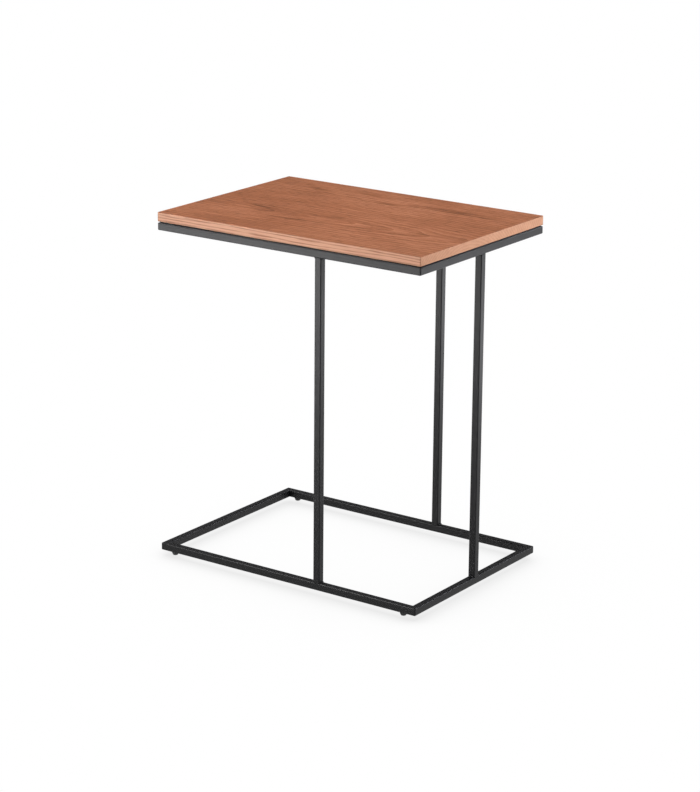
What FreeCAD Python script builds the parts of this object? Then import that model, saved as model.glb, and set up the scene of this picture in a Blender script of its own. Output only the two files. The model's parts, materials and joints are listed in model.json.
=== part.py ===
import FreeCAD, Part
import math
import os
import re
import Sketcher

# A C-shaped side table: a veneered wooden top on a welded frame of square steel tube.
# Millimetres. The origin is on the floor under the middle of the top, and +Z is up.
# The length lies along X, with the open side at -X and the posts towards +X. The front is at -Y.

SIZES = [
    ("table_length", 500, "overall length of top and base, along X"),
    ("table_depth", 350, "overall depth of top and base, along Y"),
    ("table_height", 571, "floor to the face of the top"),
    ("tube_side", 12, "outside of the square tube"),
    ("tube_wall", 1, "wall of the square tube"),
    ("tube_edge_radius", 1.5, "rounding of the tube's long edges"),
    ("corner_ease", 0.5, "how much rounder than the tube the mitred corners are ground"),
    ("post_setback", 187, "closed end to the middle of the side posts"),
    ("weld_leg", 2.5, "leg of the fillet welds at the posts' ends"),
    ("top_thickness", 15, "thickness of the whole top"),
    ("veneer_thickness", 0.6, "face veneer and backing veneer"),
    ("lipping_width", 5, "width of the solid edges round the core"),
    ("top_corner_radius", 1.5, "rounding of the top's upright corners"),
    ("arris_share", 0.6, "share of the veneer's thickness that is eased off its edge"),
    ("bedding_thickness", 2, "foam strips between the upper frame and the top"),
    ("bedding_width", 6, "width of the foam strips, which lie along the middle of the tube"),
    ("gusset_leg", 40, "length of the corner plates along the rails"),
    ("gusset_thickness", 3, "thickness of the corner plates"),
    ("gusset_tip", 4, "width of the corner plates' blunt tips"),
    ("gusset_relief", 5, "corner cut away from the plates to clear the frame's inner weld"),
    ("gusset_hole_inset", 14, "screw hole from the frame's inner faces"),
    ("screw_diameter", 4, "shank of the top's screws"),
    ("screw_head_diameter", 8, "pan head of the top's screws"),
    ("screw_head_height", 2.6, "height of the pan head"),
    ("screw_head_round", 1.8, "rounding of the pan head"),
    ("screw_point_length", 3, "length of the screws' points"),
    ("screw_cover", 4, "wood left between a screw's point and the face of the top"),
    ("screw_hole_clearance", 0.3, "screw in the plate's hole, on the radius"),
    ("pilot_clearance", 0.05, "screw in its pilot hole, on the radius"),
    ("pilot_overdepth", 0.5, "pilot hole past the screw's point"),
    ("foot_inset", 25, "middle of a foot from the end of its rail"),
    ("nut_height", 5, "height of the captive nuts"),
    ("nut_clearance", 0.1, "nut to each side of the tube it sits in"),
    ("stud_diameter", 6, "thread of the levelling glides"),
    ("stud_chamfer", 0.7, "lead-in at the top of the studs"),
    ("stud_headroom", 0.5, "stud's top to the tube's upper wall, screwed right in"),
    ("thread_clearance", 0.06, "stud in its nut, on the radius"),
    ("stud_hole_clearance", 0.25, "stud in the rail's hole, on the radius"),
    ("glide_height", 5, "floor to the base rails, with the glides screwed right in"),
    ("glide_rim_wall", 2.75, "head of the glide round its stud, at the rim"),
    ("glide_foot_wall", 1, "head of the glide round its stud, at the floor"),
    ("glide_rim_height", 1.2, "upright rim at the top of the head"),
    ("glide_round", 0.9, "rounding of the head where it meets the floor"),
    ("glide_floor", 1.5, "nylon under the stud's end"),
    ("socket_clearance", 0.05, "stud in the head's socket, on the radius"),
]
NAMES = {name for name, amount, note in SIZES}

# Heights of the main levels above the floor, as formulas of the sizes
POST_FOOT = "glide_height + tube_side"
TOP_UNDERSIDE = "table_height - top_thickness"
FRAME_TOP = f"{TOP_UNDERSIDE} - bedding_thickness"
UPPER_FRAME = f"{FRAME_TOP} - tube_side"
GUSSET_UNDERSIDE = f"{FRAME_TOP} - tube_edge_radius - gusset_thickness"
POST_LENGTH = f"{UPPER_FRAME} - glide_height - tube_side"

# Sizes that two pieces share
CORNER_RADIUS = "tube_edge_radius + corner_ease"
PILOT_RADIUS = "screw_diameter / 2 + pilot_clearance"
BEDDING_INSET = "(tube_side - bedding_width) / 2"

# Places of the repeated pieces: name, side along X, side along Y, quarter turns from the front left corner
CORNERS = [
    ("front_left", "-", "-", 0),
    ("front_right", "", "-", 1),
    ("back_right", "", "", 2),
    ("back_left", "-", "", 3),
]
QUARTER_TURN = 90

# Directions
UP = FreeCAD.Vector(0, 0, 1)
DOWNWARDS = math.radians(270)
MITRE = math.radians(45)
TOLERANCE = 1e-6

doc = FreeCAD.newDocument("SideTable")
sheet = doc.addObject("Spreadsheet::Sheet", "Sizes")
for row, (name, amount, note) in enumerate(SIZES, start=1):
    sheet.set(f"A{row}", name)
    sheet.set(f"B{row}", str(amount))
    sheet.setAlias(f"B{row}", name)
    sheet.set(f"C{row}", note)
doc.recompute()


# Formulas and sketches

def formula(text):
    """Point every size's name in a formula at its cell."""
    return re.sub(r"[a-z_]+", lambda word: "Sizes." + word[0] if word[0] in NAMES else word[0], text)


def number(text):
    return float(sheet.evalExpression(formula(text)))


def point(x, y):
    return FreeCAD.Vector(number(x), number(y), 0)


def set_datum(sketch, constraint, text):
    index = sketch.addConstraint(constraint)
    sketch.setExpression(f"Constraints[{index}]", formula(text))


def locate(sketch, index, end, x, y):
    """Hold one point of a sketch at x, y. A formula of 0 puts it on the axis."""
    for kind, axis, text in (("DistanceX", -2, x), ("DistanceY", -1, y)):
        if text == "0":
            sketch.addConstraint(Sketcher.Constraint("PointOnObject", index, end, axis))
        else:
            set_datum(sketch, Sketcher.Constraint(kind, -1, 1, index, end, number(text)), text)


def polygon(sketch, corners):
    """Closed outline of straight lines through the corners, each a pair of formulas."""
    first = sketch.GeometryCount
    count = len(corners)
    spots = [point(x, y) for x, y in corners]
    for here, there in zip(spots, spots[1:] + spots[:1]):
        sketch.addGeometry(Part.LineSegment(here, there), False)
    for step in range(count):
        following = first + (step + 1) % count
        sketch.addConstraint(Sketcher.Constraint("Coincident", first + step, 2, following, 1))
    for step, (x, y) in enumerate(corners):
        locate(sketch, first + step, 1, x, y)


def rectangle(sketch, width, depth):
    """Rectangle centred on the sketch's origin."""
    left, right = f"-({width}) / 2", f"({width}) / 2"
    near, far = f"-({depth}) / 2", f"({depth}) / 2"
    polygon(sketch, [(left, near), (right, near), (right, far), (left, far)])


def circle(sketch, x, y, radius):
    index = sketch.addGeometry(Part.Circle(point(x, y), UP, number(radius)), False)
    locate(sketch, index, 3, x, y)
    set_datum(sketch, Sketcher.Constraint("Radius", index, number(radius)), radius)


def mitred_strip(sketch, span, width, radius):
    """Plan of one side of a mitred frame: outer line on the X axis, inner line at +Y.
    Each outer corner is half of the frame's rounded corner, up to the mitre."""
    reach, inner = f"({span}) / 2 - ({radius})", f"({span}) / 2 - ({width})"
    right_centre, left_centre = point(reach, radius), point(f"-({reach})", radius)
    right_inner, left_inner = point(inner, width), point(f"-({inner})", width)
    bend = number(radius)
    right_bend = Part.ArcOfCircle(Part.Circle(right_centre, UP, bend), DOWNWARDS, DOWNWARDS + MITRE)
    left_bend = Part.ArcOfCircle(Part.Circle(left_centre, UP, bend), DOWNWARDS - MITRE, DOWNWARDS)
    outer, right_arc, right_mitre, inside, left_mitre, left_arc = sketch.addGeometry([
        Part.LineSegment(left_bend.EndPoint, right_bend.StartPoint),
        right_bend,
        Part.LineSegment(right_bend.EndPoint, right_inner),
        Part.LineSegment(right_inner, left_inner),
        Part.LineSegment(left_inner, left_bend.StartPoint),
        left_bend,
    ], False)
    for rule in [
        ("Tangent", outer, 2, right_arc, 1),
        ("Coincident", right_arc, 2, right_mitre, 1),
        ("Coincident", right_mitre, 2, inside, 1),
        ("Coincident", inside, 2, left_mitre, 1),
        ("Coincident", left_mitre, 2, left_arc, 1),
        ("Tangent", left_arc, 2, outer, 1),
        ("PointOnObject", right_arc, 3, right_mitre),
        ("PointOnObject", left_arc, 3, left_mitre),
        ("Equal", right_arc, left_arc),
        ("Symmetric", outer, 1, outer, 2, -2),
        ("Symmetric", inside, 1, inside, 2, -2),
        ("PointOnObject", outer, 1, -1),
    ]:
        sketch.addConstraint(Sketcher.Constraint(*rule))
    set_datum(sketch, Sketcher.Constraint("Radius", right_arc, bend), radius)
    set_datum(sketch, Sketcher.Constraint("DistanceX", -1, 1, outer, 2, number(reach)), reach)
    set_datum(sketch, Sketcher.Constraint("DistanceX", -1, 1, inside, 1, number(inner)), inner)
    set_datum(sketch, Sketcher.Constraint("DistanceY", -1, 1, inside, 1, number(width)), width)


# Bodies and their features

def new_body(label):
    body = doc.addObject("PartDesign::Body", label)
    body.Label = label
    return body


def new_sketch(body, role):
    sketch = body.newObject("Sketcher::SketchObject", body.Label + "_sketch")
    plane = next(feature for feature in body.Origin.OriginFeatures if feature.Role == role)
    sketch.AttachmentSupport = [(plane, "")]
    sketch.MapMode = "FlatFace"
    return sketch


def pad(body, sketch, length, symmetric=False):
    doc.recompute()
    feature = body.newObject("PartDesign::Pad", body.Label + "_pad")
    feature.Profile = sketch
    feature.setExpression("Length", formula(length))
    if symmetric:
        feature.SideType = "Symmetric"
    doc.recompute()


def pocket(body, sketch, depth=None):
    """Cut a sketch along its normal to a depth, or right through both ways without one."""
    doc.recompute()
    before = body.Shape.Volume
    feature = body.newObject("PartDesign::Pocket", body.Label + "_pocket")
    feature.Profile = sketch
    if depth is None:
        feature.Type = "ThroughAll"
        feature.SideType = "Symmetric"
    else:
        feature.setExpression("Length", formula(depth))
        feature.Reversed = True
    doc.recompute()
    if body.Shape.Volume > before - TOLERANCE:
        raise RuntimeError(f"{feature.Label} cuts nothing")


def revolve(body, sketch):
    doc.recompute()
    feature = body.newObject("PartDesign::Revolution", body.Label + "_turning")
    feature.Profile = sketch
    feature.ReferenceAxis = (sketch, ["V_Axis"])
    doc.recompute()


def dress(body, kind, edges, size, amount):
    """Fillet or chamfer the named edges of the body's last feature."""
    base = body.Tip
    feature = body.newObject("PartDesign::" + kind, body.Label + "_" + kind.lower())
    feature.Base = (base, edges)
    feature.setExpression(size, formula(amount))
    doc.recompute()


def edges_where(shape, test):
    return [f"Edge{index}" for index, edge in enumerate(shape.Edges, start=1) if test(edge)]


def is_upright(edge):
    start, end = edge.Vertexes[0].Point, edge.Vertexes[-1].Point
    return abs(start.z - end.z) > TOLERANCE and (start - end).cross(UP).Length < TOLERANCE


def is_level_at(edge, height):
    return all(abs(vertex.Z - height) < TOLERANCE for vertex in edge.Vertexes)


def is_long_edge(edge):
    """A level edge along the tube or round its corner, as opposed to one across a mitre."""
    start, end = edge.Vertexes[0].Point, edge.Vertexes[-1].Point
    level = abs(start.z - end.z) < TOLERANCE
    return level and (abs(start.y - end.y) < TOLERANCE or isinstance(edge.Curve, Part.Circle))


def place(part, x, y, z, quarter_turns=0):
    part.Placement = FreeCAD.Placement(FreeCAD.Vector(), FreeCAD.Rotation(UP, quarter_turns * QUARTER_TURN))
    for axis, text in zip("xyz", (x, y, z)):
        part.setExpression(f"Placement.Base.{axis}", formula(text))
    return part


# The wooden top

def top_sheet(label, worn_face):
    """A veneer over the whole plan, with rounded upright corners and the arris of its outer face eased."""
    body = new_body(label)
    sketch = new_sketch(body, "XY_Plane")
    rectangle(sketch, "table_length", "table_depth")
    pad(body, sketch, "veneer_thickness")
    dress(body, "Fillet", edges_where(body.Shape, is_upright), "Radius", "top_corner_radius")
    level = number(worn_face)
    rim = edges_where(body.Shape, lambda edge: is_level_at(edge, level))
    dress(body, "Chamfer", rim, "Size", "veneer_thickness * arris_share")
    return body


def pilot_holes(body, depth=None):
    sketch = new_sketch(body, "XY_Plane")
    for name, side_x, side_y, turns in CORNERS:
        x = f"{side_x}(table_length / 2 - tube_side - gusset_hole_inset)"
        y = f"{side_y}(table_depth / 2 - tube_side - gusset_hole_inset)"
        circle(sketch, x, y, PILOT_RADIUS)
    pocket(body, sketch, depth)


def top_veneer():
    body = top_sheet("top_veneer", "veneer_thickness")
    return place(body, "0", "0", "table_height - veneer_thickness")


def top_backer():
    body = top_sheet("top_backer", "0")
    pilot_holes(body)
    return place(body, "0", "0", TOP_UNDERSIDE)


def top_core():
    body = new_body("top_core")
    sketch = new_sketch(body, "XY_Plane")
    rectangle(sketch, "table_length - 2 * lipping_width", "table_depth - 2 * lipping_width")
    pad(body, sketch, "top_thickness - 2 * veneer_thickness")
    pilot_holes(body, "top_thickness - screw_cover - veneer_thickness + pilot_overdepth")
    return place(body, "0", "0", f"{TOP_UNDERSIDE} + veneer_thickness")


def lipping(label, span):
    body = new_body(label)
    sketch = new_sketch(body, "XY_Plane")
    mitred_strip(sketch, span, "lipping_width", "top_corner_radius")
    pad(body, sketch, "top_thickness - 2 * veneer_thickness")
    return body


# The steel frame

def rail(label, span):
    """A square tube, mitred at both ends, with rounded long edges."""
    body = new_body(label)
    plan = new_sketch(body, "XY_Plane")
    mitred_strip(plan, span, "tube_side", CORNER_RADIUS)
    pad(body, plan, "tube_side")
    dress(body, "Fillet", edges_where(body.Shape, is_long_edge), "Radius", "tube_edge_radius")
    bore = new_sketch(body, "YZ_Plane")
    low, high = "tube_wall", "tube_side - tube_wall"
    polygon(bore, [(low, low), (high, low), (high, high), (low, high)])
    pocket(body, bore)
    return body


def foot_holes(body):
    """Holes for the glides' studs, through the lower wall of a long base rail."""
    sketch = new_sketch(body, "XY_Plane")
    for side in ("-", ""):
        x = f"{side}(table_length / 2 - foot_inset)"
        circle(sketch, x, "tube_side / 2", "stud_diameter / 2 + stud_hole_clearance")
    pocket(body, sketch, "tube_wall")


def frame_sides(maker, prefix, height, inset="0"):
    """Four mitred sides of a rectangle of the table's plan less an inset, each turned to face outwards."""
    length, depth = f"(table_length - 2 * {inset})", f"(table_depth - 2 * {inset})"
    front = place(maker(prefix + "_front", length), "0", f"-{depth} / 2", height)
    right = place(maker(prefix + "_right", depth), f"{length} / 2", "0", height, 1)
    back = place(maker(prefix + "_back", length), "0", f"{depth} / 2", height, 2)
    left = place(maker(prefix + "_left", depth), f"-{length} / 2", "0", height, 3)
    return [front, right, back, left]


def post(label):
    body = new_body(label)
    outside = new_sketch(body, "XY_Plane")
    rectangle(outside, "tube_side", "tube_side")
    pad(body, outside, POST_LENGTH)
    dress(body, "Fillet", edges_where(body.Shape, is_upright), "Radius", "tube_edge_radius")
    bore = new_sketch(body, "XY_Plane")
    rectangle(bore, "tube_side - 2 * tube_wall", "tube_side - 2 * tube_wall")
    pocket(body, bore)
    return body


def post_welds(label):
    """Fillet welds along the rail, on both sides of a post's foot and head."""
    body = new_body(label)
    sketch = new_sketch(body, "XZ_Plane")
    for side in ("-", ""):
        face, toe = f"{side}(tube_side / 2)", f"{side}(tube_side / 2 + weld_leg)"
        polygon(sketch, [(face, "0"), (toe, "0"), (face, "weld_leg")])
        polygon(sketch, [(face, POST_LENGTH), (toe, POST_LENGTH), (face, f"{POST_LENGTH} - weld_leg")])
    pad(body, sketch, "tube_side - 2 * tube_edge_radius", symmetric=True)
    return body


def posts_and_welds():
    side_x = "table_length / 2 - post_setback"
    rail_y = "(table_depth / 2 - tube_side / 2)"
    end_x = "table_length / 2 - tube_side / 2"
    pieces = []
    for side, x, y, turns in [
        ("front", side_x, "-" + rail_y, 0),
        ("back", side_x, rail_y, 0),
        ("end", end_x, "0", 1),
    ]:
        pieces.append(place(post("post_" + side), x, y, POST_FOOT, turns))
        pieces.append(place(post_welds("welds_" + side), x, y, POST_FOOT, turns))
    return pieces


# The fixing of the top

def bedding(label, span):
    """Foam strip with mitred ends, outer line on the X axis."""
    body = new_body(label)
    sketch = new_sketch(body, "XY_Plane")
    inner = f"({span} / 2 - bedding_width)"
    polygon(sketch, [
        (f"-{span} / 2", "0"),
        (f"{span} / 2", "0"),
        (inner, "bedding_width"),
        (f"-{inner}", "bedding_width"),
    ])
    pad(body, sketch, "bedding_thickness")
    return body


def gusset(label):
    """Corner plate with blunt tips, its square corner cut away and one screw hole."""
    body = new_body(label)
    sketch = new_sketch(body, "XY_Plane")
    polygon(sketch, [
        ("gusset_relief", "0"),
        ("gusset_leg", "0"),
        ("gusset_leg", "gusset_tip"),
        ("gusset_tip", "gusset_leg"),
        ("0", "gusset_leg"),
        ("0", "gusset_relief"),
    ])
    circle(sketch, "gusset_hole_inset", "gusset_hole_inset", "screw_diameter / 2 + screw_hole_clearance")
    pad(body, sketch, "gusset_thickness")
    return body


def top_screw(label):
    """Pan head wood screw, point up, with the foot of its head at the origin."""
    body = new_body(label)
    sketch = new_sketch(body, "XZ_Plane")
    shank = f"screw_head_height + table_height - screw_cover - ({GUSSET_UNDERSIDE})"
    polygon(sketch, [
        ("0", "0"),
        ("screw_head_diameter / 2", "0"),
        ("screw_head_diameter / 2", "screw_head_height"),
        ("screw_diameter / 2", "screw_head_height"),
        ("screw_diameter / 2", f"{shank} - screw_point_length"),
        ("0", shank),
    ])
    revolve(body, sketch)
    rim = edges_where(body.Shape, lambda edge: is_level_at(edge, 0))
    dress(body, "Fillet", rim, "Radius", "screw_head_round")
    return body


def top_fixing():
    pieces = []
    for name, side_x, side_y, turns in CORNERS:
        plate = gusset("gusset_" + name)
        x = f"{side_x}(table_length / 2 - tube_side)"
        y = f"{side_y}(table_depth / 2 - tube_side)"
        pieces.append(place(plate, x, y, GUSSET_UNDERSIDE, turns))
        screw = top_screw("top_screw_" + name)
        x = f"{side_x}(table_length / 2 - tube_side - gusset_hole_inset)"
        y = f"{side_y}(table_depth / 2 - tube_side - gusset_hole_inset)"
        pieces.append(place(screw, x, y, f"{GUSSET_UNDERSIDE} - screw_head_height"))
    return pieces


# The levelling feet

def foot_nut(label):
    """Hexagonal nut that lies in the tube with two flats along its walls."""
    blank = doc.addObject("Part::Prism", label + "_blank")
    blank.Polygon = 6
    blank.setExpression("Circumradius", formula("(tube_side - 2 * tube_wall - 2 * nut_clearance) / sqrt(3)"))
    blank.setExpression("Height", formula("nut_height"))
    thread = doc.addObject("Part::Cylinder", label + "_thread")
    thread.setExpression("Radius", formula("stud_diameter / 2 + thread_clearance"))
    thread.setExpression("Height", formula("nut_height"))
    nut = doc.addObject("Part::Cut", label)
    nut.Label = label
    nut.Base = blank
    nut.Tool = thread
    doc.recompute()
    return nut


def glide_stud(label):
    """Threaded stud, from the floor of the head's socket to just under the tube's upper wall."""
    body = new_body(label)
    sketch = new_sketch(body, "XY_Plane")
    circle(sketch, "0", "0", "stud_diameter / 2")
    length = "glide_height - glide_floor + tube_side - tube_wall - stud_headroom"
    pad(body, sketch, length)
    height = number(length)
    rim = edges_where(body.Shape, lambda edge: is_level_at(edge, height))
    dress(body, "Chamfer", rim, "Size", "stud_chamfer")
    return body


def glide_head(label):
    """Nylon head, tapered from its rim to a rounded foot, with a socket for the stud."""
    body = new_body(label)
    sketch = new_sketch(body, "XZ_Plane")
    rim = "stud_diameter / 2 + glide_rim_wall"
    foot = "stud_diameter / 2 + glide_foot_wall"
    socket = "stud_diameter / 2 + socket_clearance"
    polygon(sketch, [
        ("0", "0"),
        (foot, "0"),
        (rim, "glide_height - glide_rim_height"),
        (rim, "glide_height"),
        (socket, "glide_height"),
        (socket, "glide_floor"),
        ("0", "glide_floor"),
    ])
    revolve(body, sketch)
    sole = edges_where(body.Shape, lambda edge: is_level_at(edge, 0))
    dress(body, "Fillet", sole, "Radius", "glide_round")
    return body


def levelling_feet():
    pieces = []
    for name, side_x, side_y, turns in CORNERS:
        x = f"{side_x}(table_length / 2 - foot_inset)"
        y = f"{side_y}(table_depth / 2 - tube_side / 2)"
        pieces.append(place(foot_nut("foot_nut_" + name), x, y, "glide_height + tube_wall"))
        pieces.append(place(glide_stud("glide_stud_" + name), x, y, "glide_floor"))
        pieces.append(place(glide_head("glide_head_" + name), x, y, "0"))
    return pieces


def base_frame():
    sides = frame_sides(rail, "base_rail", "glide_height")
    for side in sides:
        if side.Label in ("base_rail_front", "base_rail_back"):
            foot_holes(side)
    return sides


def check(pieces):
    """Stop if any object failed to build or any piece has no sound solid."""
    doc.recompute()
    for item in doc.Objects:
        if "Invalid" in item.State or "Error" in item.State:
            raise RuntimeError(f"{item.Label} did not build: {item.State}")
    for piece in pieces:
        if piece.Shape.isNull() or not piece.Shape.isValid() or not piece.Shape.Solids:
            raise RuntimeError(f"{piece.Label} has no sound solid")


def main():
    pieces = [top_core(), top_veneer(), top_backer()]
    pieces += frame_sides(lipping, "lipping", f"{TOP_UNDERSIDE} + veneer_thickness")
    pieces += frame_sides(bedding, "bedding", FRAME_TOP, BEDDING_INSET)
    pieces += frame_sides(rail, "upper_rail", UPPER_FRAME)
    pieces += base_frame()
    pieces += posts_and_welds()
    pieces += top_fixing()
    pieces += levelling_feet()
    check(pieces)
    os.makedirs("parts", exist_ok=True)
    for piece in pieces:
        piece.Shape.exportStep(f"parts/{piece.Label}.step")
        print(f"{piece.Label}: {len(piece.Shape.Solids)} solid, {piece.Shape.Volume:.1f} mm3")


main()
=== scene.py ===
import json
import math

import bmesh
import bpy
from mathutils import Color, Matrix, Vector


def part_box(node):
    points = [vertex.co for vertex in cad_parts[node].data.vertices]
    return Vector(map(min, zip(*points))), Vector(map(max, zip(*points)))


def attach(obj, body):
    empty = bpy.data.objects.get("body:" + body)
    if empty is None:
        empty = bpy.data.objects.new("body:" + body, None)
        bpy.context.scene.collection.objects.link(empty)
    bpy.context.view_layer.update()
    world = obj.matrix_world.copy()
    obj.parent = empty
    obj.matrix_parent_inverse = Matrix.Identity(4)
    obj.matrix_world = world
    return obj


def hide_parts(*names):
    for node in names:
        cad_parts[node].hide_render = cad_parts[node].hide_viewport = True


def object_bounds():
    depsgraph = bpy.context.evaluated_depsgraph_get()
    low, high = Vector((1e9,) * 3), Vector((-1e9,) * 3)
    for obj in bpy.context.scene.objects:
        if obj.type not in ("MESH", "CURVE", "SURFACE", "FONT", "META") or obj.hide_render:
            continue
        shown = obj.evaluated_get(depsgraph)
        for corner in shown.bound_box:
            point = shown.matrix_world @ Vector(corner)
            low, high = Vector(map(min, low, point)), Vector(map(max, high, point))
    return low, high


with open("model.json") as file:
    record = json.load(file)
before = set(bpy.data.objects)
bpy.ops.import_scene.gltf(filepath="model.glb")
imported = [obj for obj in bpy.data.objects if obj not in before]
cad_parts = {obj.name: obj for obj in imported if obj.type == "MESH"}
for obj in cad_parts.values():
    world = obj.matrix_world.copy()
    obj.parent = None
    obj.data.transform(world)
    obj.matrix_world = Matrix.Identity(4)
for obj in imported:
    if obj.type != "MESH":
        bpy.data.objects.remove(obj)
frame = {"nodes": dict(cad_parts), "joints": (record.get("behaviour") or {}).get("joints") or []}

CAD_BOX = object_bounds()
MM = 0.001
FULL_TURN = 2 * math.pi

bl_info = {
    "name": "C-Shaped Side Table",
    "version": (1, 0, 0),
    "blender": (4, 5, 0),
    "location": "View3D > Sidebar > Side Table",
    "description": "Finishes the table, models its welds, screws and feet, and sets the studio",
    "category": "Object",
}

# Names of the frame's pieces
CORNERS = ("front_left", "front_right", "back_right", "back_left")
SIDES = ("front", "right", "back", "left")
POSTS = ("front", "back", "end")

# Dark streaks of the face veneer's figure: middle x and y, length and width in mm, turn in degrees, depth
STREAKS = (
    (140, 107, 250, 30, 0, 0.5),
    (10, 97, 60, 15, 4, 0.4),
    (-53, 133, 120, 13, -9, 0.4),
    (-150, 122, 92, 20, -27, 0.4),
    (-153, 97, 82, 9, 6, 0.3),
    (-140, -42, 112, 12, -12, 0.45),
    (-122, -63, 80, 12, 20, 0.35),
    (-43, -85, 112, 13, 6, 0.4),
    (33, -41, 120, 9, -7, 0.4),
    (165, -50, 170, 10, -1, 0.4),
    (120, -73, 250, 9, 2, 0.35),
)

# Length in which a wave texture of scale 1 repeats
WAVE_PERIOD = math.pi / 10

# Meshes: distance at which points merge, least angle of a sharp edge, steps round a small piece and round
# the floor
MERGE_DISTANCE = 0.001 * MM
SHARP_ANGLE = math.radians(40)
TURN_STEPS = 32
FLOOR_STEPS = 64

# Weld beads: sides, and the swell of the ends and of each ripple as shares of the radius
BEAD_SIDES = 12
BEAD_END_SHARE = 0.45
RIPPLE_SHARES = (0.88, 1, 0.96)

# Threads: steps of a turn, share of the pitch that the ridge takes up, how deep it is sunk in the core, and
# how far a stud's crest stays inside the frame's plain stud
THREAD_STEPS = 20
RIDGE_SHARE = 0.9
RIDGE_SINK = 0.1 * MM
CREST_PLAY = 0.02 * MM

# Wood screws: shank and point as shares of the head's radius, rounding of the head as a share of its
# height, and floor of the recess as a share of its mouth
SHANK_SHARE = 0.5
POINT_SHARE = 0.75
HEAD_ROUND_SHARE = 0.65
RECESS_FLOOR_SHARE = 0.5

# Glides: sole, top and inside of the grip as shares of the rim's radius, ends of the grip as shares of the
# height, rounding of the sole, play round the stud, and steps of a flute
SOLE_SHARE = 0.7
TOP_SHARE = 0.95
GRIP_SHARE = 0.9
GRIP_FOOT_SHARE = 0.72
GRIP_HEAD_SHARE = 0.94
SOLE_ROUND = 0.7 * MM
SOCKET_PLAY = 0.05 * MM
FLUTE_STEPS = 6

# Soft lamps, aimed at the top: azimuth, elevation and spread in degrees, distance, width and height in
# metres, tint, whether the lamp lights the table, and whether the table's gloss reflects it
LAMPS = {
    "key_softbox": (-47, 11, 36, 1.9, 1.2, 0.6, "#FFFAF6", True, False),
    "fill_softbox": (120, 11, 40, 1.7, 1.0, 0.6, "#FFFDFC", True, False),
    "overhead_softbox": (-20, 78, 180, 1.5, 1.4, 1.4, "#FFFFFF", True, True),
    "edge_striplight": (-59, 51, 180, 2.2, 0.5, 0.9, "#FFFFFF", False, True),
    "end_striplight": (158, 24, 180, 2.2, 0.45, 0.6, "#F2F5FF", False, True),
    "front_reflector": (-35, -13, 180, 1.5, 1.0, 0.45, "#FFFFFF", False, True),
    "end_reflector": (145, -20.6, 180, 1.28, 1.0, 0.26, "#FAFBFF", False, True),
}

# Profile of the white floor and the cove that it turns up into: radius and height in metres
COVE = ((0, 0), (22, 0), (24.5, 0.3), (26.5, 1.1), (28, 2.6), (28.6, 4.6))

# Gap between the floor and the glides at their full travel
FLOOR_GAP = 0.5 * MM


# Colours and node trees

def linear(code):
    """Linear colour of an sRGB hex value."""
    srgb = Color([byte / 255 for byte in bytes.fromhex(code.lstrip("#"))])
    return tuple(srgb.from_srgb_to_scene_linear())


def opaque(colour):
    """A colour with the alpha that a node's socket takes."""
    return (*colour, 1)


def per_metre(millimetres):
    """Scale of a pattern that repeats at a size in millimetres."""
    return 1 / (millimetres * MM)


def add_node(tree, kind, inputs, stops=(), **settings):
    """Add a node with its settings. An input is a value, or the output of another node to link."""
    node = tree.nodes.new(kind)
    for name, value in settings.items():
        setattr(node, name, value)
    for name, value in inputs.items():
        if isinstance(value, bpy.types.NodeSocket):
            tree.links.new(value, node.inputs[name])
        else:
            node.inputs[name].default_value = value
    for index, (position, colour) in enumerate(stops):
        elements = node.color_ramp.elements
        element = elements[index] if index < 2 else elements.new(position)
        element.position = position
        element.color = colour
    return node


def start_material(name):
    """An empty material with its node tree and its Object coordinates."""
    material = bpy.data.materials.new(name)
    material.use_nodes = True
    tree = material.node_tree
    tree.nodes.clear()
    place = add_node(tree, "ShaderNodeTexCoord", {}).outputs["Object"]
    return material, tree, place


def finish_material(tree, inputs):
    """Give the tree its Principled shader."""
    shader = add_node(tree, "ShaderNodeBsdfPrincipled", inputs)
    add_node(tree, "ShaderNodeOutputMaterial", {"Surface": shader.outputs["BSDF"]})


def paint(material, nodes):
    """Give the frame's nodes a finish through their material slots."""
    for name in nodes:
        for slot in frame["nodes"][name].material_slots:
            slot.material = material


# Sizes and colours

class SideTableFinish(bpy.types.PropertyGroup):
    """Colours and pattern sizes of the table's materials."""
    face_colour: bpy.props.FloatVectorProperty(
        name="Face", description="Stained veneer of the top", subtype="COLOR", default=linear("#A86642"))
    face_dark: bpy.props.FloatVectorProperty(
        name="Face streaks", description="Dark streaks of the stained veneer", subtype="COLOR",
        default=linear("#704124"))
    face_light: bpy.props.FloatVectorProperty(
        name="Face lights", description="Pale earlywood of the stained veneer", subtype="COLOR",
        default=linear("#D08E6A"))
    edge_colour: bpy.props.FloatVectorProperty(
        name="Edges", description="Pale lippings round the top", subtype="COLOR", default=linear("#D9A485"))
    edge_dark: bpy.props.FloatVectorProperty(
        name="Edge lines", description="Latewood lines of the lippings", subtype="COLOR",
        default=linear("#AC7253"))
    # Partly painted shade: the underside is stained darker than the face so that its edge darkens the line
    # under the top
    backer_stain_and_shade: bpy.props.FloatVectorProperty(
        name="Underside", description="Stained backing veneer", subtype="COLOR", default=linear("#7A4E36"))
    coat_colour: bpy.props.FloatVectorProperty(
        name="Steel coat", description="Powder coat of the frame", subtype="COLOR",
        default=linear("#262628"))
    foam_colour: bpy.props.FloatVectorProperty(
        name="Foam", description="Bedding strips under the top", subtype="COLOR", default=linear("#19191A"))
    ring_width: bpy.props.FloatProperty(
        name="Ring width", description="Growth rings of the face veneer", unit="LENGTH", default=9 * MM)
    pore_width: bpy.props.FloatProperty(
        name="Pore width", description="Drawn width of the wood's pores", unit="LENGTH", default=1.3 * MM)
    peel_size: bpy.props.FloatProperty(
        name="Orange peel", description="Waves of the powder coat", unit="LENGTH", default=1.6 * MM)


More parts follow.
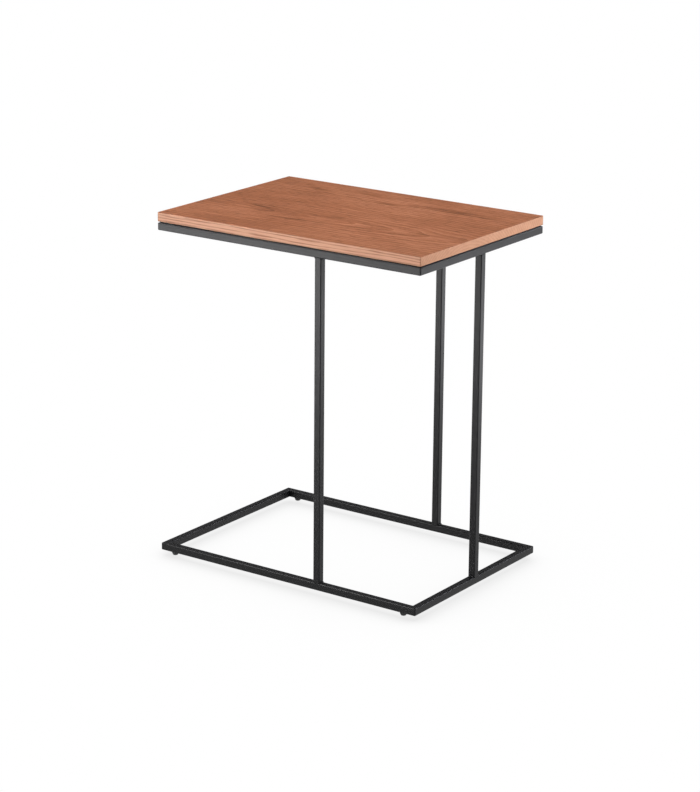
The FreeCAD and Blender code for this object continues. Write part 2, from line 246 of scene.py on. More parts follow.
class SideTableHardware(bpy.types.PropertyGroup):
    """Sizes of the welds, the screws and the levelling glides."""
    bead_radius: bpy.props.FloatProperty(
        name="Weld bead", description="Radius of the weld beads", unit="LENGTH", default=1.5 * MM)
    bead_lift: bpy.props.FloatProperty(
        name="Weld lift", description="Middle of a bead off the tubes", unit="LENGTH", default=0.6 * MM)
    ripple_length: bpy.props.FloatProperty(
        name="Weld ripple", description="Length of one ripple of a bead", unit="LENGTH", default=1.3 * MM)
    screw_pitch: bpy.props.FloatProperty(
        name="Screw pitch", description="Thread pitch of the wood screws", unit="LENGTH", default=1.8 * MM)
    recess_reach: bpy.props.FloatProperty(
        name="Recess reach", description="Middle of a screw's cross recess to its end", unit="LENGTH",
        default=1.9 * MM)
    recess_width: bpy.props.FloatProperty(
        name="Recess width", description="Width of the cross recess's slots", unit="LENGTH",
        default=0.9 * MM)
    recess_depth: bpy.props.FloatProperty(
        name="Recess depth", description="Depth of the cross recess", unit="LENGTH", default=1.5 * MM)
    stud_pitch: bpy.props.FloatProperty(
        name="Stud pitch", description="Thread pitch of the levelling studs", unit="LENGTH", default=1 * MM)
    thread_depth: bpy.props.FloatProperty(
        name="Thread depth", description="Depth of the screws' and studs' threads", unit="LENGTH",
        default=0.5 * MM)
    flute_count: bpy.props.IntProperty(
        name="Grip flutes", description="Hollows round the rim of a glide", default=14)
    flute_depth: bpy.props.FloatProperty(
        name="Flute depth", description="Depth of the hollows in a glide's rim", unit="LENGTH",
        default=0.45 * MM)


class SideTableStudio(bpy.types.PropertyGroup):
    """Lamps and camera of the studio."""
    key_softbox_power: bpy.props.FloatProperty(
        name="Key", description="Softbox to the left of the camera", unit="POWER", default=3.5)
    fill_softbox_power: bpy.props.FloatProperty(
        name="Fill", description="Softbox at the closed end", unit="POWER", default=2.5)
    overhead_softbox_power: bpy.props.FloatProperty(
        name="Overhead", description="Softbox over the top", unit="POWER", default=14)
    edge_striplight_power: bpy.props.FloatProperty(
        name="Front edges", description="Striplight that shows in the front tubes' edges", unit="POWER",
        default=60)
    end_striplight_power: bpy.props.FloatProperty(
        name="End edges", description="Striplight that shows in the end tubes' edges", unit="POWER",
        default=18)
    front_reflector_power: bpy.props.FloatProperty(
        name="Front sheen", description="Low reflector that shows in the tubes' front faces", unit="POWER",
        default=10.5)
    end_reflector_power: bpy.props.FloatProperty(
        name="End sheen", description="Low reflector that shows in the tubes' end faces", unit="POWER",
        default=2.2)
    camera_place: bpy.props.FloatVectorProperty(
        name="Camera", description="Where the camera stands", subtype="TRANSLATION", unit="LENGTH",
        default=(2.2572, -3.2168, 1.4521))
    camera_azimuth: bpy.props.FloatProperty(
        name="Azimuth", description="Camera's side: 0 in front, 90 at the closed end", subtype="ANGLE",
        default=math.radians(35.041))
    camera_elevation: bpy.props.FloatProperty(
        name="Elevation", description="Tilt of the camera's axis", subtype="ANGLE",
        default=math.radians(15.475))
    camera_roll: bpy.props.FloatProperty(
        name="Roll", description="Turn of the camera about its axis", subtype="ANGLE",
        default=math.radians(0.511))
    camera_lens: bpy.props.FloatProperty(
        name="Lens", description="Focal length of the camera", unit="CAMERA", default=115.71)
    camera_shift: bpy.props.FloatProperty(
        name="Shift", description="Vertical shift of the frame, which keeps the posts upright",
        default=-0.0707)


# Materials

def stained_veneer(finish):
    """Ash veneer, crown cut, stained red brown and lacquered: arrowheads, dark pores and a soft sheen."""
    material, tree, place = start_material("stained_ash_veneer")
    # The grain wanders a few millimetres to each side over a hand's breadth
    wander_width = 14 * MM
    drift = add_node(
        tree, "ShaderNodeMapping", {"Vector": place, "Scale": (per_metre(156), per_metre(44.6), 1.6)})
    wander = add_node(
        tree, "ShaderNodeTexNoise", {"Vector": drift.outputs["Vector"], "Scale": 1, "Detail": 3})
    grain = add_node(
        tree, "ShaderNodeVectorMath", {0: wander.outputs["Color"], 1: (0, wander_width, 0), 2: place},
        operation="MULTIPLY_ADD").outputs["Vector"]
    # Crown cut: the face runs at a slant past the heart of the rings, which come out as long arrowheads
    slant = add_node(
        tree, "ShaderNodeMapping",
        {"Vector": grain, "Location": (0, 48 * MM, 26 * MM - CAD_BOX[1].z),
         "Rotation": (0, math.radians(-7), 0)})
    rings = add_node(
        tree, "ShaderNodeTexWave",
        {"Vector": slant.outputs["Vector"], "Scale": WAVE_PERIOD / finish.ring_width, "Distortion": 3,
         "Detail": 3, "Detail Scale": 0.5},
        wave_type="RINGS", rings_direction="X", wave_profile="SAW")
    # Long fibres, too fine to show at their own width, drawn about 3 mm wide
    fibre_place = add_node(
        tree, "ShaderNodeMapping", {"Vector": grain, "Scale": (per_metre(70), per_metre(3), 1)})
    fibres = add_node(
        tree, "ShaderNodeTexNoise", {"Vector": fibre_place.outputs["Vector"], "Scale": 1, "Detail": 3})
    # Open pores: short dark dashes along the grain, most in the rings' earlywood, wider than the real 0.2 mm
    pore_place = add_node(
        tree, "ShaderNodeMapping", {"Vector": grain, "Scale": (per_metre(14), 1 / finish.pore_width, 1)})
    pore_noise = add_node(
        tree, "ShaderNodeTexNoise", {"Vector": pore_place.outputs["Vector"], "Scale": 1, "Detail": 1})
    earlywood = add_node(
        tree, "ShaderNodeMapRange",
        {"Value": rings.outputs["Fac"], "From Min": 0.1, "From Max": 0.7, "To Min": 0.62, "To Max": 0.47})
    pores = add_node(
        tree, "ShaderNodeMapRange",
        {"Value": pore_noise.outputs["Fac"], "From Min": earlywood.outputs["Result"], "From Max": 0.72,
         "To Min": 0, "To Max": 1})
    # Broad clouds where the stain took more or less
    cloud_place = add_node(
        tree, "ShaderNodeMapping", {"Vector": place, "Scale": (per_metre(200), per_metre(83.3), 1)})
    clouds = add_node(
        tree, "ShaderNodeTexNoise", {"Vector": cloud_place.outputs["Vector"], "Scale": 1, "Detail": 2})
    # Dark streaks, each a soft lens that the fibres break up into a bundle of lines
    bundle = 0
    for x, y, length, width, turn, depth in STREAKS:
        spot = add_node(
            tree, "ShaderNodeMapping",
            {"Vector": grain, "Location": (x * MM, y * MM + wander_width / 2, CAD_BOX[1].z),
             "Rotation": (0, 0, math.radians(turn)), "Scale": (length * MM / 2, width * MM / 2, 1)},
            vector_type="TEXTURE")
        streak = add_node(
            tree, "ShaderNodeTexGradient", {"Vector": spot.outputs["Vector"]}, gradient_type="SPHERICAL")
        bundle = add_node(
            tree, "ShaderNodeMath", {0: streak.outputs["Fac"], 1: depth, 2: bundle},
            operation="MULTIPLY_ADD").outputs["Value"]
    broken = add_node(
        tree, "ShaderNodeMapRange",
        {"Value": fibres.outputs["Fac"], "From Min": 0.65, "From Max": 0.35, "To Min": 0.15, "To Max": 1.5})
    # Tone from 0, darkest, to 1, palest
    tone = 0
    for source, share in ((rings, -0.22), (fibres, 0.74), (clouds, 0.65)):
        tone = add_node(
            tree, "ShaderNodeMath", {0: source.outputs["Fac"], 1: share, 2: tone},
            operation="MULTIPLY_ADD").outputs["Value"]
    dark = add_node(tree, "ShaderNodeMath", {0: bundle, 1: broken.outputs["Result"]}, operation="MULTIPLY")
    dark = add_node(
        tree, "ShaderNodeMath", {0: pores.outputs["Result"], 1: 0.45, 2: dark.outputs["Value"]},
        operation="MULTIPLY_ADD")
    tone = add_node(tree, "ShaderNodeMath", {0: tone, 1: dark.outputs["Value"]}, operation="SUBTRACT")
    colour = add_node(
        tree, "ShaderNodeValToRGB", {"Fac": tone.outputs["Value"]},
        stops=(
            (0, opaque(finish.face_dark)),
            (1, opaque(finish.face_light)),
            (0.5, opaque(finish.face_colour))))
    gloss = add_node(
        tree, "ShaderNodeMapRange", {"Value": fibres.outputs["Fac"], "To Min": 0.5, "To Max": 0.64})
    relief = add_node(
        tree, "ShaderNodeBump", {"Strength": 0.5, "Distance": 0.08 * MM, "Height": pores.outputs["Result"]},
        invert=True)
    finish_material(tree, {
        "Base Color": colour.outputs["Color"], "Roughness": gloss.outputs["Result"], "IOR": 1.5,
        "Specular IOR Level": 0.2, "Normal": relief.outputs["Normal"]})
    return material


def long_lipping(finish):
    """Ash lipping along the grain, clear lacquered: pale, with a few latewood lines along its length."""
    material, tree, place = start_material("ash_lipping_long_grain")
    # Latewood lines about 5 mm apart, stretched along the piece, which bend and fade here and there
    ring_place = add_node(tree, "ShaderNodeMapping", {"Vector": place, "Scale": (0.04, 1, 1)})
    rings = add_node(
        tree, "ShaderNodeTexWave",
        {"Vector": ring_place.outputs["Vector"], "Scale": WAVE_PERIOD / (5 * MM), "Distortion": 7,
         "Detail": 2, "Detail Scale": 2.5},
        wave_type="BANDS", bands_direction="Z")
    fibre_place = add_node(
        tree, "ShaderNodeMapping", {"Vector": place, "Scale": (per_metre(30), 1, per_metre(1.6))})
    fibres = add_node(
        tree, "ShaderNodeTexNoise", {"Vector": fibre_place.outputs["Vector"], "Scale": 1, "Detail": 6})
    fade = add_node(
        tree, "ShaderNodeMapRange",
        {"Value": fibres.outputs["Fac"], "From Min": 0.3, "From Max": 0.6, "To Min": 0.2, "To Max": 0.9})
    line = add_node(
        tree, "ShaderNodeMapRange",
        {"Value": rings.outputs["Fac"], "From Min": 0.6, "From Max": 1,
         "To Min": 0, "To Max": fade.outputs["Result"]})
    tone = add_node(
        tree, "ShaderNodeMath", {0: fibres.outputs["Fac"], 1: 0.5, 2: line.outputs["Result"]},
        operation="MULTIPLY_ADD")
    colour = add_node(
        tree, "ShaderNodeValToRGB", {"Fac": tone.outputs["Value"]},
        stops=((0.15, opaque(finish.edge_colour)), (0.95, opaque(finish.edge_dark))))
    relief = add_node(
        tree, "ShaderNodeBump", {"Strength": 0.4, "Distance": 0.05 * MM, "Height": fibres.outputs["Fac"]})
    finish_material(tree, {
        "Base Color": colour.outputs["Color"], "Roughness": 0.55, "IOR": 1.5,
        "Specular IOR Level": 0.3, "Normal": relief.outputs["Normal"]})
    return material


def end_lipping(finish):
    """Ash lipping cut across the grain: pale, with flat arcs of rings stippled by the pores' ends."""
    material, tree, place = start_material("ash_lipping_end_grain")
    # Rings about 5 mm apart round a heart 120 mm under the top
    heart = add_node(
        tree, "ShaderNodeMapping", {"Vector": place, "Location": (0, 50 * MM, 120 * MM - CAD_BOX[1].z)})
    rings = add_node(
        tree, "ShaderNodeTexWave",
        {"Vector": heart.outputs["Vector"], "Scale": WAVE_PERIOD / (5 * MM), "Distortion": 1.5,
         "Detail": 2, "Detail Scale": 0.6},
        wave_type="RINGS", rings_direction="X", wave_profile="SAW")
    # Pores drawn up to 0.6 mm wide, twice their real size, and most open in each ring's earlywood
    dots = add_node(
        tree, "ShaderNodeTexVoronoi", {"Vector": place, "Scale": per_metre(1.5), "Randomness": 1})
    width = add_node(
        tree, "ShaderNodeMapRange", {"Value": rings.outputs["Fac"], "To Min": 0.1, "To Max": 0.4})
    pores = add_node(
        tree, "ShaderNodeMapRange",
        {"Value": dots.outputs["Distance"], "From Min": 0, "From Max": width.outputs["Result"],
         "To Min": 0.75, "To Max": 0})
    soft = add_node(tree, "ShaderNodeTexNoise", {"Vector": place, "Scale": per_metre(9), "Detail": 4})
    tone = pores.outputs["Result"]
    for source, share in ((rings, 0.2), (soft, 0.45)):
        tone = add_node(
            tree, "ShaderNodeMath", {0: source.outputs["Fac"], 1: share, 2: tone},
            operation="MULTIPLY_ADD").outputs["Value"]
    colour = add_node(
        tree, "ShaderNodeValToRGB", {"Fac": tone},
        stops=((0.15, opaque(finish.edge_colour)), (1, opaque(finish.edge_dark))))
    relief = add_node(
        tree, "ShaderNodeBump", {"Strength": 0.4, "Distance": 0.05 * MM, "Height": pores.outputs["Result"]},
        invert=True)
    finish_material(tree, {
        "Base Color": colour.outputs["Color"], "Roughness": 0.6, "IOR": 1.5,
        "Specular IOR Level": 0.3, "Normal": relief.outputs["Normal"]})
    return material


def backing_veneer(finish):
    """Plain backing veneer in the face's stain, with straight fine grain: darker than the face, partly as
    painted shade for the dark line under the top's edge.
    """
    material, tree, place = start_material("stained_backing_veneer")
    fibre_place = add_node(
        tree, "ShaderNodeMapping", {"Vector": place, "Scale": (per_metre(90), per_metre(2), 1)})
    fibres = add_node(
        tree, "ShaderNodeTexNoise", {"Vector": fibre_place.outputs["Vector"], "Scale": 1, "Detail": 4})
    # Partly painted shade: the backing veneer is darker than the face so that its edge reads as the dark
    # line between the top and the frame
    colour = add_node(
        tree, "ShaderNodeValToRGB", {"Fac": fibres.outputs["Fac"]},
        stops=((0.3, opaque(finish.face_dark)), (0.7, opaque(finish.backer_stain_and_shade))))
    relief = add_node(
        tree, "ShaderNodeBump", {"Strength": 0.4, "Distance": 0.05 * MM, "Height": fibres.outputs["Fac"]})
    finish_material(tree, {
        "Base Color": colour.outputs["Color"], "Roughness": 0.6, "Normal": relief.outputs["Normal"]})
    return material


def fibreboard():
    """Medium density fibreboard, raw inside the screw holes: matte brown felt of fine fibres."""
    material, tree, place = start_material("fibreboard")
    felt = add_node(tree, "ShaderNodeTexNoise", {"Vector": place, "Scale": per_metre(1.2), "Detail": 4})
    colour = add_node(
        tree, "ShaderNodeValToRGB", {"Fac": felt.outputs["Fac"]},
        stops=((0.3, opaque(linear("#8C6A48"))), (0.7, opaque(linear("#B8936A")))))
    relief = add_node(
        tree, "ShaderNodeBump", {"Strength": 0.5, "Distance": 0.1 * MM, "Height": felt.outputs["Fac"]})
    finish_material(tree, {
        "Base Color": colour.outputs["Color"], "Roughness": 0.9, "Normal": relief.outputs["Normal"]})
    return material


def powder_coat(finish):
    """Satin black powder coat on steel: a soft sheen broken by fine orange peel."""
    material, tree, place = start_material("satin_black_powder_coat")
    peel = add_node(
        tree, "ShaderNodeTexNoise", {"Vector": place, "Scale": 1 / finish.peel_size, "Detail": 2})
    haze = add_node(tree, "ShaderNodeTexNoise", {"Vector": place, "Scale": per_metre(40), "Detail": 3})
    haze_lift = 1.35
    lighter = [min(1, channel * haze_lift) for channel in finish.coat_colour]
    colour = add_node(
        tree, "ShaderNodeValToRGB", {"Fac": haze.outputs["Fac"]},
        stops=((0.35, opaque(finish.coat_colour)), (0.75, opaque(lighter))))
    gloss = add_node(
        tree, "ShaderNodeMapRange", {"Value": peel.outputs["Fac"], "To Min": 0.33, "To Max": 0.39})
    relief = add_node(
        tree, "ShaderNodeBump", {"Strength": 0.06, "Distance": 0.04 * MM, "Height": peel.outputs["Fac"]})
    finish_material(tree, {
        "Base Color": colour.outputs["Color"], "Roughness": gloss.outputs["Result"], "IOR": 1.5,
        "Specular IOR Level": 0.19, "Normal": relief.outputs["Normal"]})
    return material


def zinc_plate():
    """Bright zinc plate on steel: a cool metal sheen, clouded by handling."""
    material, tree, place = start_material("bright_zinc_plate")
    cloud = add_node(tree, "ShaderNodeTexNoise", {"Vector": place, "Scale": per_metre(2.5), "Detail": 4})
    colour = add_node(
        tree, "ShaderNodeValToRGB", {"Fac": cloud.outputs["Fac"]},
        stops=((0.3, opaque(linear("#A9ADB2"))), (0.7, opaque(linear("#CDD1D4")))))
    gloss = add_node(
        tree, "ShaderNodeMapRange", {"Value": cloud.outputs["Fac"], "To Min": 0.28, "To Max": 0.48})
    finish_material(tree, {
        "Base Color": colour.outputs["Color"], "Metallic": 1, "Roughness": gloss.outputs["Result"]})
    return material


def moulded_nylon():
    """Black nylon, moulded: matte, with the fine eroded grain of its mould."""
    material, tree, place = start_material("black_moulded_nylon")
    grain = add_node(tree, "ShaderNodeTexNoise", {"Vector": place, "Scale": per_metre(0.5), "Detail": 2})
    colour = add_node(
        tree, "ShaderNodeValToRGB", {"Fac": grain.outputs["Fac"]},
        stops=((0.3, opaque(linear("#161617"))), (0.7, opaque(linear("#222224")))))
    relief = add_node(
        tree, "ShaderNodeBump", {"Strength": 0.4, "Distance": 0.03 * MM, "Height": grain.outputs["Fac"]})
    finish_material(tree, {
        "Base Color": colour.outputs["Color"], "Roughness": 0.55, "IOR": 1.53,
        "Normal": relief.outputs["Normal"]})
    return material


def closed_cell_foam(finish):
    """Black closed-cell foam, cut from sheet: dull, with the small hollows of its opened cells, drawn darker
    than the cell walls as painted shade.
    """
    material, tree, place = start_material("black_closed_cell_foam")
    cells = add_node(
        tree, "ShaderNodeTexVoronoi", {"Vector": place, "Scale": per_metre(0.7), "Randomness": 1})
    # Painted shade: the hollows of the cells are drawn darker and the walls between them lighter
    hollow_shade_lift = 1.6
    lighter = [channel * hollow_shade_lift for channel in finish.foam_colour]
    colour = add_node(
        tree, "ShaderNodeValToRGB", {"Fac": cells.outputs["Distance"]},
        stops=((0.1, opaque(finish.foam_colour)), (0.7, opaque(lighter))))
    relief = add_node(
        tree, "ShaderNodeBump",
        {"Strength": 0.6, "Distance": 0.15 * MM, "Height": cells.outputs["Distance"]})
    finish_material(tree, {
        "Base Color": colour.outputs["Color"], "Roughness": 0.9, "Normal": relief.outputs["Normal"]})
    return material


# Modelling

def turn_profile(bm, foot, profile, steps):
    """Turn a profile of radius and height pairs round an upright axis through foot."""
    verts = [bm.verts.new(foot + Vector((radius, 0, height))) for radius, height in profile]
    edges = [bm.edges.new(pair) for pair in zip(verts, verts[1:])]
    bmesh.ops.spin(
        bm, geom=verts + edges, cent=foot, axis=(0, 0, 1), angle=FULL_TURN, steps=steps, use_merge=True)
    bmesh.ops.remove_doubles(bm, verts=bm.verts, dist=MERGE_DISTANCE)


def thread_ridge(bm, foot, root, crest, pitch, turns):
    """Wind a ridge of triangular section round an upright core of radius root, from foot upwards."""
    base = root - RIDGE_SINK
    ridge = pitch * RIDGE_SHARE
    places = ((base, 0, 0), (crest, 0, ridge / 2), (base, 0, ridge))
    section = bm.faces.new([bm.verts.new(foot + Vector(place)) for place in places])
    bmesh.ops.spin(
        bm, geom=[section, *section.edges, *section.verts], cent=foot, axis=(0, 0, 1),
        dvec=(0, 0, pitch / THREAD_STEPS), angle=FULL_TURN * turns, steps=THREAD_STEPS * turns)


def foot_point(low, high):
    """Middle of a box's underside."""
    return Vector(((low.x + high.x) / 2, (low.y + high.y) / 2, low.z))


def level_edges(bm, height):
    """Edges of a bmesh that lie at one height."""
    return [
        edge for edge in bm.edges
        if all(abs(vert.co.z - height) < MERGE_DISTANCE for vert in edge.verts)]


def weld_bead(bm, start, end, radius, ripple_length):
    """Draw a ring out from start to end: it swells with every ripple and narrows at both ends."""
    along = end - start
    ripples = round(along.length / ripple_length)
    swells = (BEAD_END_SHARE, *RIPPLE_SHARES * ripples, BEAD_END_SHARE)
    step = along / (len(swells) - 1)
    turn = along.to_track_quat("Z", "Y").to_matrix().to_4x4()
    ring = bmesh.ops.create_circle(
        bm, segments=BEAD_SIDES, radius=radius * swells[0], matrix=Matrix.Translation(start) @ turn)
    first = rim = list({edge for vert in ring["verts"] for edge in vert.link_edges})
    for count, (before, now) in enumerate(zip(swells, swells[1:])):
        grown = bmesh.ops.extrude_edge_only(bm, edges=rim)["geom"]
        rim = [item for item in grown if isinstance(item, bmesh.types.BMEdge)]
        verts = [item for item in grown if isinstance(item, bmesh.types.BMVert)]
        middle = Matrix.Translation(-(start + step * count))
        bmesh.ops.scale(bm, vec=[now / before] * 3, space=middle, verts=verts)
        bmesh.ops.translate(bm, vec=step, verts=verts)
    bmesh.ops.holes_fill(bm, edges=first + rim)


def cross_recess(bm, cap, reach, width, depth):
    """Sink a tapered cross into the flat underside of a screw's head."""
    middle = cap.calc_center_median()
    flat = [cap]
    for axis in (Vector((1, 0, 0)), Vector((0, 1, 0))):
        for offset in (-reach, -width / 2, width / 2, reach):
            geom = {item for face in flat for item in (face, *face.edges, *face.verts)}
            cut = bmesh.ops.bisect_plane(bm, geom=list(geom), plane_co=middle + axis * offset, plane_no=axis)
            flat = [item for item in cut["geom"] if isinstance(item, bmesh.types.BMFace)]
    slots = []
    for face in flat:
        across = sorted(abs(part) for part in (face.calc_center_median() - middle).xy)
        if across[0] < width / 2 and across[1] < reach:
            slots.append(face)
    sunk = bmesh.ops.extrude_face_region(bm, geom=slots)["geom"]
    bmesh.ops.delete(bm, geom=slots, context="FACES")
    floor = [item for item in sunk if isinstance(item, bmesh.types.BMVert)]
    taper = (RECESS_FLOOR_SHARE, RECESS_FLOOR_SHARE, 1)
    bmesh.ops.scale(bm, vec=taper, space=Matrix.Translation(-middle), verts=floor)
    bmesh.ops.translate(bm, vec=(0, 0, depth), verts=floor)


def add_piece(name, bm, body, replaced, material):
    """Make a piece of a bmesh, which rides on a body and stands for a node of the frame."""
    bmesh.ops.recalc_face_normals(bm, faces=bm.faces)
    mesh = bpy.data.meshes.new(name)
    bm.to_mesh(mesh)
    bm.free()
    mesh.shade_smooth()
    mesh.set_sharp_from_angle(angle=SHARP_ANGLE)
    mesh.materials.append(material)
    piece = bpy.data.objects.new(name, mesh)
    bpy.context.scene.collection.objects.link(piece)
    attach(piece, body)
    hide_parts(replaced)


def weld_beads(post, hardware, material):
    """Beads on both sides of a post, at its foot and its head, where the frame's plain fillets are."""
    low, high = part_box(f"post_{post}")
    weld_low, weld_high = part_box(f"welds_{post}")
    side = 0 if weld_high.x - weld_low.x > weld_high.y - weld_low.y else 1
    lift = hardware.bead_lift
    bm = bmesh.new()
    for level in (low.z + lift, high.z - lift):
        for face in (low[side] - lift, high[side] + lift):
            start, end = weld_low.copy(), weld_high.copy()
            for place in (start, end):
                place[side] = face
                place.z = level
            weld_bead(bm, start, end, hardware.bead_radius, hardware.ripple_length)
    add_piece(f"weld_beads_{post}", bm, "frame", f"welds_{post}", material)


def top_screw(corner, hardware, material):
    """Pan head wood screw with a cross recess and a coarse thread, point up."""
    node = f"top_screw_{corner}"
    low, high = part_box(node)
    gusset_low, gusset_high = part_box(f"gusset_{corner}")
    foot = foot_point(low, high)
    head_radius = (high.x - low.x) / 2
    head_height = gusset_low.z - low.z
    length = high.z - low.z
    point = length - head_radius * POINT_SHARE
    shank = head_radius * SHANK_SHARE
    root = shank - hardware.thread_depth
    bm = bmesh.new()
    turn_profile(
        bm, foot,
        [(head_radius, 0), (head_radius, head_height), (root, head_height), (root, point), (0, length)],
        TURN_STEPS)
    cap = bmesh.ops.edgeloop_fill(bm, edges=level_edges(bm, low.z))["faces"][0]
    bmesh.ops.bevel(
        bm, geom=list(cap.edges), offset=head_height * HEAD_ROUND_SHARE, affect="EDGES", segments=5,
        profile=0.5, material=-1)
    cap = min(bm.faces, key=lambda face: face.calc_center_median().z)
    cross_recess(bm, cap, hardware.recess_reach, hardware.recess_width, hardware.recess_depth)
    start = gusset_high.z - low.z
    turns = int((point - start) / hardware.screw_pitch)
    thread_ridge(bm, foot + Vector((0, 0, start)), root, shank, hardware.screw_pitch, turns)
    add_piece(f"wood_screw_{corner}", bm, "frame", node, material)


def levelling_stud(corner, hardware, material):
    """Threaded stud with a chamfered top."""
    node = f"glide_stud_{corner}"
    low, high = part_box(node)
    foot = foot_point(low, high)
    length = high.z - low.z
    crest = (high.x - low.x) / 2
    root = crest - hardware.thread_depth
    chamfer = hardware.thread_depth
    bm = bmesh.new()
    turn_profile(
        bm, foot,
        [(0, 0), (root, 0), (root, length - chamfer), (root - chamfer, length), (0, length)],
        TURN_STEPS)
    turns = int((length - chamfer) / hardware.stud_pitch)
    thread_ridge(bm, foot, root, crest - CREST_PLAY, hardware.stud_pitch, turns)
    add_piece(f"levelling_stud_{corner}", bm, f"stud_{corner}", node, material)


def nylon_glide(corner, hardware, material):
    """Tapered glide with a fluted grip round its rim and a rounded sole."""
    node = f"glide_head_{corner}"
    low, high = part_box(node)
    stud_low, stud_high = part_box(f"glide_stud_{corner}")
    foot = foot_point(low, high)
    height = high.z - low.z
    rim = (high.x - low.x) / 2
    sole = rim * SOLE_SHARE
    socket = (stud_high.x - stud_low.x) / 2 + SOCKET_PLAY
    socket_floor = stud_low.z - low.z
    outside = [
        (0, 0), (sole, 0), (rim, height * GRIP_FOOT_SHARE), (rim, height * GRIP_HEAD_SHARE),
        (rim * TOP_SHARE, height)]
    inside = [(socket, height), (socket, socket_floor), (0, socket_floor)]
    bm = bmesh.new()
    turn_profile(bm, foot, outside + inside, FLUTE_STEPS * hardware.flute_count)
    sole_rim = [
        edge for edge in level_edges(bm, low.z)
        if all((vert.co - foot).length > sole / 2 for vert in edge.verts)]
    bmesh.ops.bevel(
        bm, geom=sole_rim, offset=SOLE_ROUND, affect="EDGES", segments=4, profile=0.5, material=-1)
    for vert in bm.verts:
        out = (vert.co - foot).xy
        if out.length > rim * GRIP_SHARE:
            hollow = 0.5 + 0.5 * math.cos(hardware.flute_count * math.atan2(out.y, out.x))
            out *= 1 - hollow * hardware.flute_depth / out.length
            vert.co.xy = foot.xy + out
    add_piece(f"nylon_glide_{corner}", bm, f"foot_{corner}", node, material)


# Studio

def bearing(azimuth, elevation):
    """Direction from the table: an azimuth of 0 is in front, and a quarter turn is at the closed end."""
    across = math.cos(elevation)
    return Vector((math.sin(azimuth) * across, -math.cos(azimuth) * across, math.sin(elevation)))


def background_rays(tree):
    """1 for rays that see the background, directly or in a reflection, and 0 for those that light."""
    path = add_node(tree, "ShaderNodeLightPath", {})
    seen = 0
    for ray in ("Is Camera Ray", "Is Glossy Ray", "Is Transmission Ray"):
        seen = add_node(
            tree, "ShaderNodeMath", {0: path.outputs[ray], 1: seen}, operation="MAXIMUM").outputs["Value"]
    return seen


def studio_floor(scene):
    """White floor that turns up into a cove, low enough for the glides at their full travel."""
    travel = max(joint["range_m"][1] for joint in frame["joints"] if joint["type"] == "slide")
    mesh = bpy.data.meshes.new("studio_floor")
    bm = bmesh.new()
    turn_profile(bm, Vector((0, 0, -travel - FLOOR_GAP)), COVE, FLOOR_STEPS)
    bm.to_mesh(mesh)
    bm.free()
    floor = bpy.data.objects.new("studio_floor", mesh)
    scene.collection.objects.link(floor)
    material = bpy.data.materials.new("white_studio_floor")
    material.use_nodes = True
    tree = material.node_tree
    tree.nodes.clear()
    # White where it is seen, apart from the shadow that the table keeps on it
    shade = add_node(tree, "ShaderNodeAmbientOcclusion", {"Distance": 0.4})
    white = add_node(
        tree, "ShaderNodeValToRGB", {"Fac": shade.outputs["AO"]},
        stops=((0.3, opaque(linear("#E0E0E0"))), (0.97, opaque(linear("#FFFFFF")))))
    glow = add_node(tree, "ShaderNodeEmission", {"Color": white.outputs["Color"], "Strength": 1})
    matte = add_node(tree, "ShaderNodeBsdfDiffuse", {"Color": opaque(linear("#808080"))})
    surface = add_node(
        tree, "ShaderNodeMixShader",
        {0: background_rays(tree), 1: matte.outputs["BSDF"], 2: glow.outputs["Emission"]})
    add_node(tree, "ShaderNodeOutputMaterial", {"Surface": surface.outputs["Shader"]})
    # The white is only seen and lights nothing, so no light samples go to it
    material.cycles.emission_sampling = "NONE"
    mesh.materials.append(material)


def studio_world(scene):
    """Dim grey over the white cove."""
    world = bpy.data.worlds.new("studio_grey")
    world.use_nodes = True
    backdrop = world.node_tree.nodes["Background"]
    backdrop.inputs["Color"].default_value = opaque(linear("#585859"))
    scene.world = world


def softbox(scene, name, power, azimuth, elevation, spread, distance, width, height, tint, lights, mirrored):
    """Rectangular lamp aimed at the top, which the camera doesn't see."""
    lamp = bpy.data.lights.new(name, "AREA")
    lamp.shape = "RECTANGLE"
    lamp.size = width
    lamp.size_y = height
    lamp.spread = math.radians(spread)
    lamp.energy = power
    lamp.color = linear(tint)
    stand = bpy.data.objects.new(name, lamp)
    back = bearing(math.radians(azimuth), math.radians(elevation))
    stand.location = Vector((0, 0, CAD_BOX[1].z)) + back * distance
    stand.rotation_euler = back.to_track_quat("Z", "Y").to_euler()
    stand.visible_camera = False
    stand.visible_diffuse = lights
    stand.visible_glossy = mirrored
    scene.collection.objects.link(stand)


def studio_camera(scene, studio):
    """Camera at the photograph's viewing angle, from a fit to the table's straight edges."""
    data = bpy.data.cameras.new("camera")
    data.lens = studio.camera_lens
    data.shift_y = studio.camera_shift
    camera = bpy.data.objects.new("camera", data)
    back = bearing(studio.camera_azimuth, studio.camera_elevation)
    aim = back.to_track_quat("Z", "Y").to_matrix().to_4x4()
    roll = Matrix.Rotation(studio.camera_roll, 4, "Z")
    camera.matrix_world = Matrix.Translation(studio.camera_place) @ aim @ roll
    scene.collection.objects.link(camera)
    scene.camera = camera


# Operators and panel

class SIDETABLE_OT_wooden_top(bpy.types.Operator):
    """Finish the veneers, the lippings and the core of the top"""
    bl_idname = "side_table.wooden_top"
    bl_label = "Wooden Top"

    def execute(self, context):
        finish = context.scene.side_table_finish
        paint(stained_veneer(finish), ["top_veneer"])
        paint(long_lipping(finish), ["lipping_front", "lipping_back"])
        paint(end_lipping(finish), ["lipping_left", "lipping_right"])
        paint(backing_veneer(finish), ["top_backer"])
        paint(fibreboard(), ["top_core"])
        return {"FINISHED"}


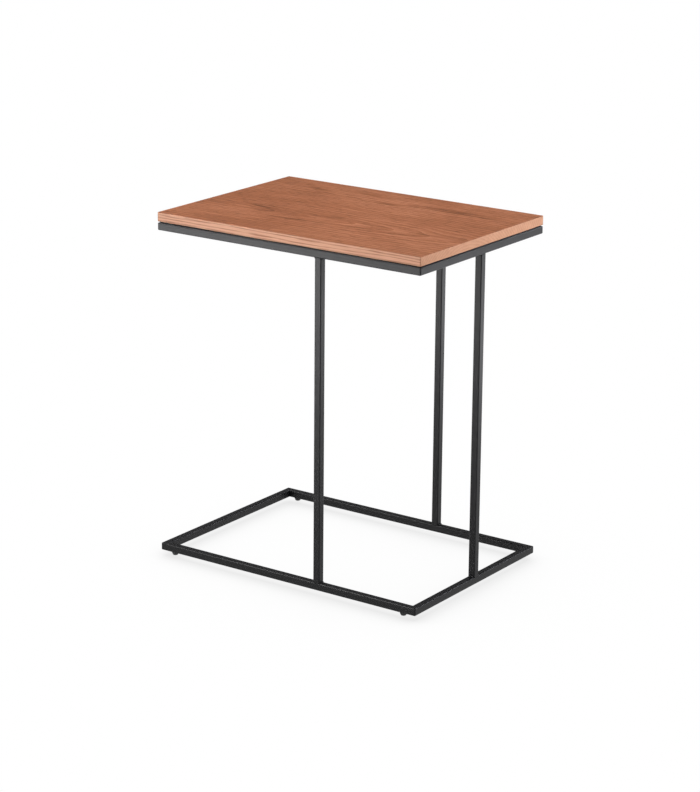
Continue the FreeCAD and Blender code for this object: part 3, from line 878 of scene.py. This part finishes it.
class SIDETABLE_OT_steel_frame(bpy.types.Operator):
    """Coat the rails, the posts and the corner plates, and lay the weld beads"""
    bl_idname = "side_table.steel_frame"
    bl_label = "Steel Frame"

    def execute(self, context):
        coat = powder_coat(context.scene.side_table_finish)
        paint(coat, [f"{level}_rail_{side}" for level in ("upper", "base") for side in SIDES])
        paint(coat, [f"post_{post}" for post in POSTS])
        paint(coat, [f"gusset_{corner}" for corner in CORNERS])
        for post in POSTS:
            weld_beads(post, context.scene.side_table_hardware, coat)
        return {"FINISHED"}


class SIDETABLE_OT_top_fixing(bpy.types.Operator):
    """Finish the foam strips under the top and model its screws"""
    bl_idname = "side_table.top_fixing"
    bl_label = "Top Fixing"

    def execute(self, context):
        paint(closed_cell_foam(context.scene.side_table_finish), [f"bedding_{side}" for side in SIDES])
        zinc = zinc_plate()
        for corner in CORNERS:
            top_screw(corner, context.scene.side_table_hardware, zinc)
        return {"FINISHED"}


class SIDETABLE_OT_levelling_feet(bpy.types.Operator):
    """Finish the captive nuts and model the studs and heads of the levelling glides"""
    bl_idname = "side_table.levelling_feet"
    bl_label = "Levelling Feet"

    def execute(self, context):
        hardware = context.scene.side_table_hardware
        zinc = zinc_plate()
        nylon = moulded_nylon()
        paint(zinc, [f"foot_nut_{corner}" for corner in CORNERS])
        for corner in CORNERS:
            levelling_stud(corner, hardware, zinc)
            nylon_glide(corner, hardware, nylon)
        return {"FINISHED"}


class SIDETABLE_OT_studio(bpy.types.Operator):
    """Set the white floor, the soft lamps and the camera"""
    bl_idname = "side_table.studio"
    bl_label = "Studio"

    def execute(self, context):
        scene = context.scene
        studio = scene.side_table_studio
        scene.view_settings.view_transform = "Standard"
        studio_floor(scene)
        studio_world(scene)
        for name, setting in LAMPS.items():
            softbox(scene, name, getattr(studio, f"{name}_power"), *setting)
        studio_camera(scene, studio)
        return {"FINISHED"}


class SIDETABLE_PT_panel(bpy.types.Panel):
    """Lists the table's operators, sizes and colours"""
    bl_label = "Side Table"
    bl_idname = "SIDETABLE_PT_panel"
    bl_space_type = "VIEW_3D"
    bl_region_type = "UI"
    bl_category = "Side Table"

    def draw(self, context):
        for operator in OPERATORS:
            self.layout.operator(operator.bl_idname)
        for pointer, group in GROUPS.items():
            for name in group.__annotations__:
                self.layout.prop(getattr(context.scene, pointer), name)


GROUPS = {
    "side_table_finish": SideTableFinish,
    "side_table_hardware": SideTableHardware,
    "side_table_studio": SideTableStudio,
}
OPERATORS = (
    SIDETABLE_OT_wooden_top,
    SIDETABLE_OT_steel_frame,
    SIDETABLE_OT_top_fixing,
    SIDETABLE_OT_levelling_feet,
    SIDETABLE_OT_studio,
)
CLASSES = (*GROUPS.values(), *OPERATORS, SIDETABLE_PT_panel)


def register():
    for item in CLASSES:
        bpy.utils.register_class(item)
    for pointer, group in GROUPS.items():
        setattr(bpy.types.Scene, pointer, bpy.props.PointerProperty(type=group))


def unregister():
    for pointer in GROUPS:
        delattr(bpy.types.Scene, pointer)
    for item in reversed(CLASSES):
        bpy.utils.unregister_class(item)


def main():
    register()
    bpy.ops.side_table.wooden_top()
    bpy.ops.side_table.steel_frame()
    bpy.ops.side_table.top_fixing()
    bpy.ops.side_table.levelling_feet()
    bpy.ops.side_table.studio()


if __name__ == "__main__":
    main()
